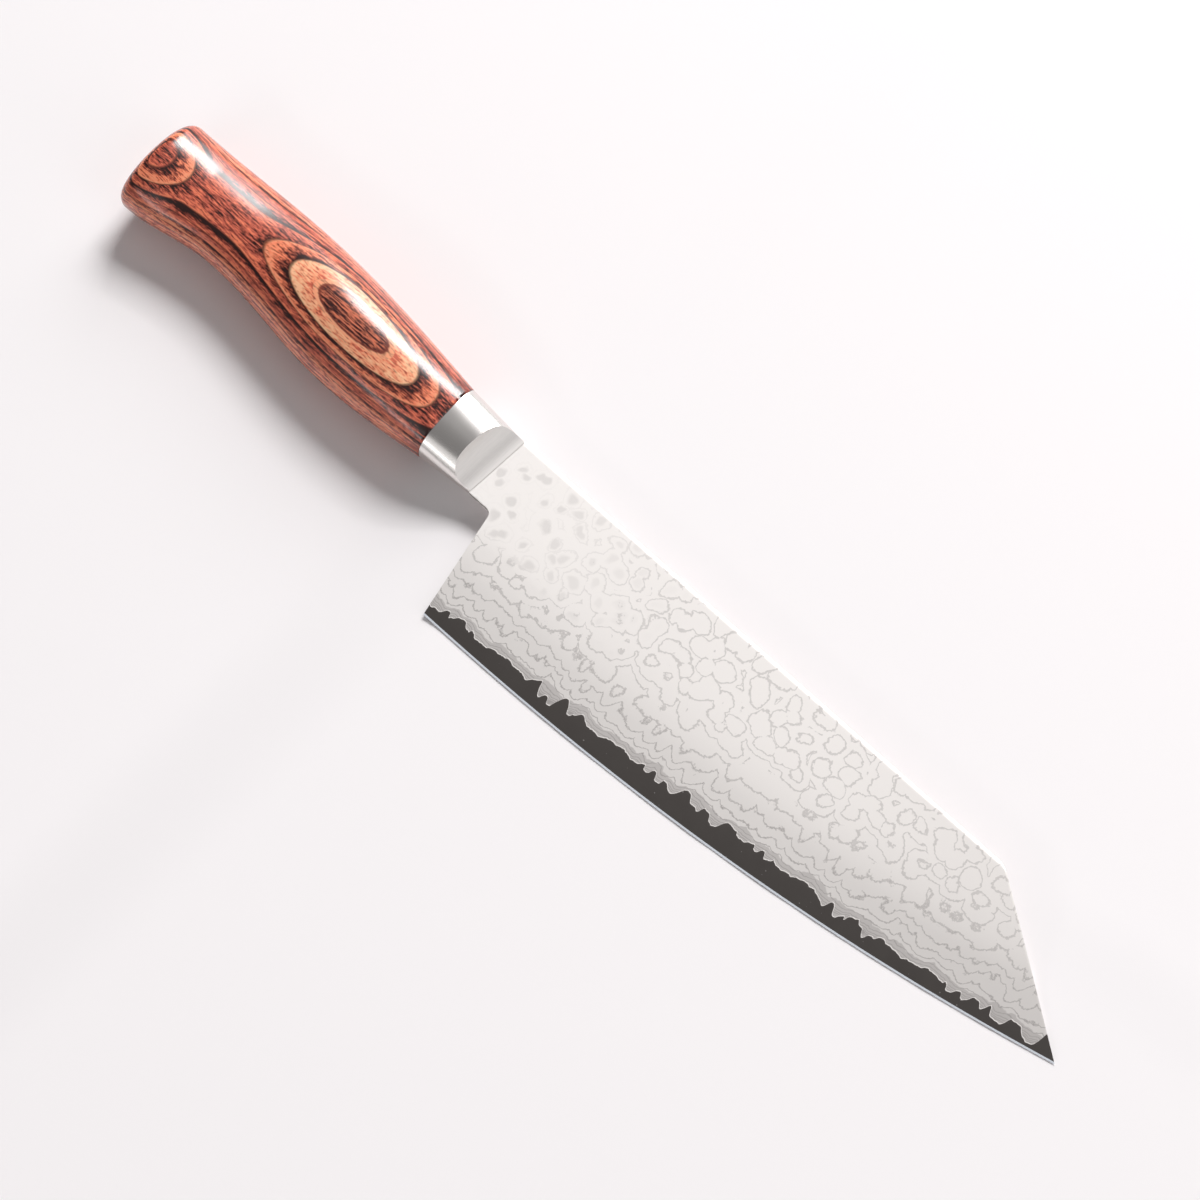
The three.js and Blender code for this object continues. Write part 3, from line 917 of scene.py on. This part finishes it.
def layer_lines(n, depth, over_line, ground):
    """Reach from the middle of each forged dish, how many layers it presses down, and the etched lines."""
    dishes, press, press_at_edge, flatness = 192, 2.3, 0.874, 1.6
    thinning, first_cut, calm_depth = 0.65, 0.002 * MM, 0.16 * MM
    squeeze, squeeze_reach = 2.2, 1.2 * MM
    far_side_shift, layer_shift = 0.37, 9.7
    line_core, line_rim, line_share, line_share_at_edge = 0.03 * MM, 0.15 * MM, 0.54, 0.92
    fill_core, fill_rim, fill_share = 0.07, 0.11, 0.45
    x, y, z = n.axes()
    along = n.plus(x, n.times(n.math("LESS_THAN", z, KNIFE_ORIGIN.z), far_side_shift))
    where = n.add("ShaderNodeCombineXYZ", X=along, Y=y).outputs[0]
    strayed = n.strayed(n.strayed(where, 150, 3.4 * MM), 620, 1.1 * MM)
    dish = n.add("ShaderNodeTexVoronoi", {"voronoi_dimensions": "2D"}, Vector=strayed, Scale=dishes)
    reach = dish.outputs["Distance"]
    force = n.between(n.step(depth, 0.0, calm_depth), press, press_at_edge)
    pressed = n.times(n.power(reach, flatness), force)

    near_core = n.math("EXPONENT", n.over(over_line, -squeeze_reach))
    cut_depth = n.larger(depth, first_cut)
    cut = n.power(n.over(cut_depth, LAYER), thinning)
    fold = n.size(n.swing(n.noise(n.place((1, 0.25, 0)), 215, 0.0), 3.4))
    slow = n.swing(n.noise(where, 55, 0.0), 1.6)
    teeth = n.swing(n.noise(where, 1500, 2.5, 0.6), 0.5)
    stack = n.minus(n.plus(cut, n.times(near_core, squeeze)), n.times(fold, ground))
    for part in (pressed, slow, teeth, layer_shift):
        stack = n.plus(stack, part)
    off = n.size(n.minus(n.math("FRACT", stack), 0.5))

    across = n.times(n.times(n.power(reach, flatness - 1), flatness * dishes), force)
    down = n.times(n.over(n.times(n.attribute("slope"), thinning), cut_depth), cut)
    down = n.minus(down, n.times(near_core, squeeze / squeeze_reach))
    steepness = n.math("SQRT", n.plus(n.power(across, 2.0), n.power(down, 2.0)))
    line = n.fall(n.over(off, steepness), line_core, line_rim)
    line = n.times(line, n.between(ground, line_share, line_share_at_edge))
    fill = n.times(n.fall(off, fill_core, fill_rim), fill_share)
    return reach, pressed, n.larger(line, fill)


def pattern_steel(c):
    """Etched cladding: layers that show where the grind and the forged dishes cut through them."""
    n = Nodes("pattern_steel")
    zone_end, zone_rim, zone_wave, zone_share = 2.0 * MM, 2.3 * MM, 1.6 * MM, 0.55
    haze, painted_shade_at_edge, grey_at_tip = 0.1, 0.26, 0.16
    faint_share, spot_share = 0.08, 0.3
    depth, from_bolster = n.attribute("depth"), n.attribute("from_bolster")
    over_line = n.larger(n.attribute("over_line"), -0.5 * MM)
    ground = n.step(depth, 0.01 * MM, 0.3 * MM)
    reach, pressed, etched = layer_lines(n, depth, over_line, ground)

    wavy = n.minus(over_line, n.times(n.minus(pressed, 0.4), zone_wave))
    share = n.lifted(etched, n.times(n.fall(wavy, zone_end, zone_rim), zone_share))
    # Grey under the lines: it grows towards the edge over the hollow grind as painted shade, and it also
    # grows towards the tip.
    forward = n.step(from_bolster, 90 * MM, 190 * MM)
    share = n.lifted(share, n.plus(n.between(ground, haze, painted_shade_at_edge), n.times(forward, grey_at_tip)))
    bitten = n.larger(n.step(from_bolster, 8 * MM, 64 * MM), n.step(depth, 0.0, 0.05 * MM))
    share = n.times(share, n.between(bitten, faint_share, 1.0))
    spot = n.times(n.fall(reach, 0.12, 0.3), n.between(bitten, spot_share, 0.0))
    shade = n.mix(n.plus(share, spot), c.pale_steel, c.line_steel)
    outline = n.fall(n.attribute("over_core"), 0.16 * MM, 0.3 * MM)
    shade = n.mix(outline, shade, c.pale_steel)
    grain = n.relief(n.noise(n.place(), 5200, 2.0, 0.6), 0.08, 0.01 * MM)
    return n.finish(Base_Color=shade, Normal=grain, Metallic=0.35, Roughness=0.42, Specular_IOR_Level=0.0)


def core_steel(c):
    """Dark polished core with a satin cutting bevel, whose bluish white colour is partly a painted
    highlight.
    """
    n = Nodes("core_steel")
    bevel = n.fall(n.attribute("rise"), 0.42 * MM, 0.47 * MM)
    specks = n.step(n.noise(n.place(), 1500, 1.0), 0.76, 0.8)
    cloud = n.noise(n.place((1, 1, 0.2)), 160, 3.0, 0.6)
    shade = n.mix(n.times(cloud, 0.25), c.core_steel, CLOUDED_CORE)
    shade = n.mix(n.times(specks, 0.6), shade, c.pale_steel)
    shade = n.mix(bevel, shade, c.bevel_steel_and_highlight)
    grain = n.relief(n.noise(n.place((0.15, 1, 1)), 6000, 2.0, 0.6), 0.06, 0.01 * MM)
    metal, rough = n.between(bevel, 1.0, 0.35), n.between(bevel, 0.3, 0.45)
    return n.finish(Base_Color=shade, Normal=grain, Metallic=metal, Roughness=rough, Specular_IOR_Level=0.0)


def polished_steel(c):
    """Barrel of the bolster: bright, with faint polishing marks round it."""
    n = Nodes("polished_steel")
    marks = n.noise(n.place((1, 0.12, 0.12)), 4200, 3.0, 0.6)
    cloud = n.noise(n.place(), 220, 2.0)
    wear = n.plus(n.times(cloud, 0.2), n.times(marks, 0.15))
    shade = n.mix(wear, c.bolster_steel, WORN_STEEL)
    return n.finish(Base_Color=shade, Metallic=1.0, Roughness=n.between(cloud, 0.25, 0.28))


def satin_steel(c):
    """Hollows of the bolster: brushed across."""
    n = Nodes("satin_steel")
    brush = n.noise(n.place((1, 0.05, 1)), 3600, 3.0, 0.65)
    shade = n.mix(n.times(brush, 0.5), c.bolster_steel, BRUSHED_STEEL)
    return n.finish(Base_Color=shade, Normal=n.relief(brush, 0.12, 0.02 * MM), Metallic=0.6, Roughness=0.4)


def veneer_wood(c, h, name, shades, sink, start, ragged, grain, streaks, lean, joint, seat, skirt):
    """One dyed veneer, with streaks and pores along the grain.

    Its shades run from light to dark: from start at the lower face, further by sink at the upper face, and
    by lean along the belly. The streaks are 1 / grain times as long as they are wide. The glue line has the
    colour joint and lies at the height seat, and what is below it has the colour skirt.
    """
    n = Nodes(name)
    lean_length, front_length, front_depth = 30 * MM, 6 * MM, 0.3
    foot, nose = KNIFE_ORIGIN.z - h.veneer * h.veneers / 2, KNIFE_ORIGIN.x + NOSE_X
    x, _, z = n.axes()
    layer = n.math("FRACT", n.over(n.minus(z, foot), h.veneer))
    streak = n.noise(n.place((grain, 1, 1)), streaks, 2.5, 0.6)
    fine = n.noise(n.place((0.2, 1, 1), (0.7, 0.4, 0.1)), 3300, 2.0, 0.6)
    broad = n.noise(n.place((0.4, 1, 1), (0.3, 0.1, 0.2)), 240, 1.0)
    shift = n.times(n.plus(n.swing(streak, 1.9), n.swing(fine, 1.5)), ragged)
    shift = n.plus(shift, n.swing(broad, 0.6))
    tilt = n.times(n.minus(KNIFE_ORIGIN.x + BELLY_X, x), lean / lean_length)
    tilt = n.plus(tilt, n.times(n.step(x, nose - front_length, nose), front_depth))
    depth = n.plus(n.plus(n.times(layer, sink), start), shift)
    shade = n.ramp(n.plus(depth, tilt), shades)
    pores = n.step(fine, 0.56, 0.66)
    shade = n.mix(n.times(pores, 0.45), shade, c.glue)
    height = n.plus(layer, n.times(shift, 0.04))
    glue = n.fall(height, seat + 0.02, seat + 0.13)
    shade = n.mix(n.times(glue, 0.85), shade, joint)
    if seat:
        rim = n.mix(n.step(shift, -0.1, 0.6), skirt, darker(skirt, 0.5))
        shade = n.mix(n.fall(height, seat - 0.05, seat + 0.01), shade, rim)
    relief = n.relief(fine, 0.4, 0.02 * MM)
    return n.finish(
        Base_Color=shade,
        Normal=relief,
        Coat_Normal=relief,
        Roughness=0.42,
        Specular_IOR_Level=0.1,
        Coat_Weight=1.0,
        Coat_Roughness=0.215,
        Coat_IOR=1.6,
    )


def epoxy_bedding(c):
    """Cured epoxy with small bubbles."""
    n = Nodes("epoxy_bedding")
    bubbles = n.step(n.noise(n.place(), 1400, 1.0), 0.6, 0.7)
    shade = n.mix(n.times(bubbles, 0.3), c.epoxy, BUBBLES)
    return n.finish(Base_Color=shade, Roughness=0.45)


def floor_paper(c):
    """Pale paper that is lit as if it were level."""
    n = Nodes("floor_paper")
    cloud = n.noise(n.place(), 900, 3.0, 0.6)
    shade = n.mix(n.times(cloud, 0.05), c.floor, PAPER_FIBRES)
    level = n.add("ShaderNodeCombineXYZ", Z=1.0).outputs[0]
    return n.finish(Base_Color=shade, Roughness=0.85, Specular_IOR_Level=0.0, Normal=level)


def darker(shade, share):
    return tuple(part * share for part in shade)


def blended(first, second, share):
    return tuple(a + (b - a) * share for a, b in zip(first, second))


class KNIFE_OT_blade(bpy.types.Operator):
    """Model the core and the two claddings of the blade"""

    bl_idname = "knife.blade"
    bl_label = "Blade"

    def execute(self, context):
        scene = context.scene
        sizes, bolster_sizes = scene.knife_blade, scene.knife_bolster
        pattern = pattern_steel(scene.knife_colours)
        for place, side in (("upper", 1), ("lower", -1)):
            layer = cladding(sizes, bolster_sizes, f"cladding_{place}", side)
            coat(layer, pattern)
            settle(layer, "pattern_steel", f"{place}_cladding")
        plate = core(sizes, bolster_sizes, "blade_core")
        coat(plate, core_steel(scene.knife_colours))
        settle(plate, "core_steel", "core_plate")
        return {"FINISHED"}


class KNIFE_OT_bolster(bpy.types.Operator):
    """Model the bolster with its two hollows and the slot for the tang"""

    bl_idname = "knife.bolster"
    bl_label = "Bolster"

    def execute(self, context):
        scene = context.scene
        blade, colours = scene.knife_blade, scene.knife_colours
        gap, crease = 2e-6, 30
        barrel = bolster(scene.knife_bolster, blade.thickness, "bolster_barrel")
        coat(barrel, polished_steel(colours), satin_steel(colours))
        in_hollow = read_attribute(barrel, "in_hollow")
        for face in barrel.data.polygons:
            face.material_index = int(max(in_hollow[v] for v in face.vertices))
        close_up(barrel, gap)
        fill_rings(barrel)
        close_up(barrel, gap)
        tool = tang_tool(blade, 0, blade.tang_thickness)
        cut_away(barrel, tool)
        discard(tool)
        smooth(barrel, crease)
        settle(barrel, "bolster_steel", "bolster")
        return {"FINISHED"}


class KNIFE_OT_handle(bpy.types.Operator):
    """Model the handle once and slice it into dyed veneers"""

    bl_idname = "knife.handle"
    bl_label = "Handle"

    def execute(self, context):
        scene = context.scene
        sizes, blade = scene.knife_handle, scene.knife_blade
        tolerance = 1e-6
        woods = self.woods(scene.knife_colours, sizes)
        blank = handle_blank(sizes, scene.knife_bolster.rear_lean)
        tree = BVHTree.FromPolygons(
            [v.co for v in blank.data.vertices], [p.vertices for p in blank.data.polygons]
        )
        slot = tang_tool(blade, sizes.slot_margin, sizes.slot_height)
        waist_half = float(eased_line(HALF_THICKNESS_LINE, np.array([WAIST_X]))[0])
        for layer in range(sizes.veneers):
            top = (sizes.veneers / 2 - layer) * sizes.veneer
            bottom = top - sizes.veneer
            dye = DYES[min(layer, sizes.veneers - 1 - layer)]
            node = f"veneer_{layer + 1:02d}"
            slice_ = copied(blank, f"wood_{layer + 1:02d}")
            bisected(slice_, KNIFE_ORIGIN + Vector((0, 0, bottom)), (0, 0, 1), True)
            bisected(slice_, KNIFE_ORIGIN + Vector((0, 0, top)), (0, 0, 1), False)
            if max(abs(top), abs(bottom)) <= sizes.slot_height / 2 + tolerance:
                cut_away(slice_, slot)
            parts = [(slice_, node)]
            if min(abs(top), abs(bottom)) >= waist_half:
                parts = self.islands(slice_, node)
            for part, name in parts:
                coat(part, woods[DYE_AT_BUTT[dye] if name.endswith("_butt") else dye])
                carry_normals(part, tree, blank.data)
                settle(part, SLOT_OF_DYE[dye], name)
        discard(slot)
        discard(blank)
        return {"FINISHED"}

    def islands(self, slice_, node):
        """Split a slice that the waist wears through into its belly and butt ends."""
        waist = KNIFE_ORIGIN + Vector((WAIST_X, 0, 0))
        butt = copied(slice_, slice_.name + "_butt")
        bisected(slice_, waist, (1, 0, 0), True)
        bisected(butt, waist, (1, 0, 0), False)
        slice_.name = slice_.data.name = slice_.name + "_belly"
        parts = [(slice_, node + "_belly")]
        if len(butt.data.vertices) > 3:
            parts.append((butt, node + "_butt"))
        else:
            discard(butt)
        return parts

    def woods(self, c, h):
        """A material for each dye: its shades from light to dark, and how far the dye sinks in."""
        dark, tan, orange, red, glue = (
            tuple(shade) for shade in (c.dark_wood, c.tan_wood, c.orange_wood, c.red_wood, c.glue)
        )
        deep, dim = darker(red, 0.45), darker(red, 0.35)
        light = blended(orange, tan, 0.35)
        chestnut = blended(dark, orange, 0.75)
        plain = dict(sink=0.9, start=0.0, ragged=0.9, grain=0.1, streaks=1700, lean=0.0)
        plain |= dict(joint=glue, seat=0.0, skirt=tan)
        dyes = {
            "crown": dict(
                shades=((0.1, chestnut), (0.36, blended(dark, chestnut, 0.5)), (0.52, dark), (0.9, glue)),
                sink=0.0,
                start=0.43,
                ragged=1.4,
                grain=0.04,
                streaks=2600,
                joint=dim,
                seat=0.2,
                skirt=blended(tan, orange, 0.5),
            ),
            "dark": dict(
                shades=((0.1, chestnut), (0.38, blended(dark, chestnut, 0.4)), (0.55, dark), (0.9, glue)),
                sink=0.0,
                start=0.45,
                ragged=1.7,
                grain=0.06,
                joint=dim,
            ),
            "tan": dict(
                shades=((0.0, tan), (0.3, blended(tan, orange, 0.35)), (0.75, orange), (1.1, red)),
                sink=0.7,
                ragged=1.7,
                grain=0.08,
            ),
            "orange": dict(
                shades=((0.0, light), (0.36, orange), (0.64, deep), (0.92, glue)),
                sink=1.0, lean=0.02,
            ),
            "red": dict(
                shades=((0.0, orange), (0.35, red), (0.65, deep), (0.9, glue)),
                sink=0.7, start=0.06, ragged=1.2,
            ),
            # Lighter copy of the red dye for the flank veneers: painted light standing in for fill light on
            # the flanks
            "red_with_painted_light": dict(
                shades=((0.0, light), (0.3, orange), (0.55, red), (0.8, deep)),
                sink=0.75, ragged=1.2,
            ),
            "rust": dict(
                shades=((0.0, orange), (0.3, red), (0.55, deep), (0.8, glue)),
                sink=1.0, start=0.05,
            ),
            "umber": dict(
                shades=((0.0, orange), (0.38, red), (0.72, deep), (1.0, glue)),
                sink=0.6, start=0.05,
            ),
            "ember": dict(
                shades=((0.0, orange), (0.4, red), (0.7, deep), (0.95, glue)),
                start=0.32, ragged=1.2,
            ),
            "amber": dict(shades=((0.0, light), (0.36, orange), (0.67, deep), (0.93, glue))),
        }
        return {name: veneer_wood(c, h, f"{name}_wood", **(plain | dye)) for name, dye in dyes.items()}


class KNIFE_OT_bedding(bpy.types.Operator):
    """Give the epoxy round the tang its finish"""

    bl_idname = "knife.bedding"
    bl_label = "Tang bedding"

    def execute(self, context):
        coat(bpy.data.objects["tang_bedding"], epoxy_bedding(context.scene.knife_colours))
        return {"FINISHED"}


def soft_box(name, place, target, size, brightness):
    """A rectangular lamp that shines at a point with a given brightness."""
    start_clean()
    bpy.ops.object.light_add(type="AREA", location=place)
    lamp = bpy.context.object
    lamp.name = name
    lamp.data.shape = "RECTANGLE"
    lamp.data.size, lamp.data.size_y = size
    lamp.data.energy = brightness * math.pi * size[0] * size[1]
    lamp.visible_camera = False
    lamp.rotation_euler = (Vector(target) - Vector(place)).to_track_quat("-Z", "Y").to_euler()


def room_light(horizon, wall, zenith):
    """A room that is bright at eye level, dim on its walls and grey overhead."""
    heights = ((0.13, horizon), (0.34, wall), (0.8, wall), (0.93, zenith))
    world = bpy.data.worlds.new("room")
    bpy.context.scene.world = world
    world.use_nodes = True
    tree = world.node_tree
    where = tree.nodes.new("ShaderNodeTexCoord")
    split = tree.nodes.new("ShaderNodeSeparateXYZ")
    levels = tree.nodes.new("ShaderNodeValToRGB")
    fill_ramp(levels.color_ramp, [(height, darker(ROOM_TINT, level)) for height, level in heights])
    tree.links.new(where.outputs["Generated"], split.inputs[0])
    tree.links.new(split.outputs["Z"], levels.inputs["Fac"])
    tree.links.new(levels.outputs["Color"], tree.nodes["Background"].inputs["Color"])


class KNIFE_OT_studio(bpy.types.Operator):
    """Set up the floor, the soft lamps and the camera"""

    bl_idname = "knife.studio"
    bl_label = "Studio"

    def execute(self, context):
        scene = context.scene
        s = scene.knife_studio
        self.floor(scene.knife_colours, scene.knife_blade)
        for name, (place, size) in LAMPS.items():
            soft_box(f"{name}_box", place, s.target, size, getattr(s, name))
        room_light(s.horizon, s.wall, s.zenith)
        flat = math.cos(s.rise)
        back = Vector((math.sin(s.turn) * flat, -math.cos(s.turn) * flat, math.sin(s.rise)))
        start_clean()
        bpy.ops.object.camera_add(location=Vector(s.target) + back * s.distance)
        camera = bpy.context.object
        camera.rotation_euler = (-back).to_track_quat("-Z", "Y").to_euler()
        camera.data.lens = s.lens
        camera.data.sensor_width = SENSOR_WIDTH
        scene.camera = camera
        scene.view_settings.view_transform = "Standard"
        return {"FINISHED"}

    def floor(self, colours, b):
        """A sheet that lies low under the handle, rises to carry the blade and is level again far out."""
        across, along, reach, crowding, crease = 400, 240, 2.5, 3, 60
        rise_start, rise_end, gap, drop = -58 * MM, -17 * MM, 0.25 * MM, 6 * MM
        level_start, level_end = 0.3, 1.0
        obj, _, _ = net("floor", across, along)
        x, y = reach * read_points(obj).T[:2] ** crowding
        blade_x = np.clip(x - KNIFE_ORIGIN.x, b.heel[0], b.tip[0])
        over_edge = np.clip(y - KNIFE_ORIGIN.y - edge_y(b, blade_x), 0, None)
        carried = KNIFE_ORIGIN.z - half_thickness(b, over_edge) - gap
        carried = carried - drop * smooth_step(over_edge, b.grind_height / 2, b.grind_height * 3 / 2)
        near = 1 - smooth_step(np.hypot(x, y), level_start, level_end)
        z = carried * smooth_step(x, rise_start, rise_end) * near
        write_points(obj, np.stack([x, y, z], axis=1))
        smooth(obj, crease)
        coat(obj, floor_paper(colours))


class KNIFE_PT_panel(bpy.types.Panel):
    """Lists the steps that build the knife"""

    bl_idname = "KNIFE_PT_panel"
    bl_label = "Bunka knife"
    bl_space_type = "VIEW_3D"
    bl_region_type = "UI"
    bl_category = "Knife"

    def draw(self, context):
        for operator in OPERATORS:
            self.layout.operator(operator.bl_idname)


GROUPS = {
    "knife_blade": BladeSizes,
    "knife_bolster": BolsterSizes,
    "knife_handle": HandleSizes,
    "knife_colours": FinishColours,
    "knife_studio": StudioSettings,
}
OPERATORS = (KNIFE_OT_blade, KNIFE_OT_bolster, KNIFE_OT_handle, KNIFE_OT_bedding, KNIFE_OT_studio)


def register():
    for name, group in GROUPS.items():
        bpy.utils.register_class(group)
        setattr(bpy.types.Scene, name, PointerProperty(type=group))
    for operator in OPERATORS:
        bpy.utils.register_class(operator)
    bpy.utils.register_class(KNIFE_PT_panel)


def unregister():
    bpy.utils.unregister_class(KNIFE_PT_panel)
    for operator in reversed(OPERATORS):
        bpy.utils.unregister_class(operator)
    for name, group in reversed(GROUPS.items()):
        delattr(bpy.types.Scene, name)
        bpy.utils.unregister_class(group)


def main():
    register()
    bpy.ops.knife.blade()
    bpy.ops.knife.bolster()
    bpy.ops.knife.handle()
    bpy.ops.knife.bedding()
    bpy.ops.knife.studio()
    start_clean()


if __name__ == "__main__":
    main()
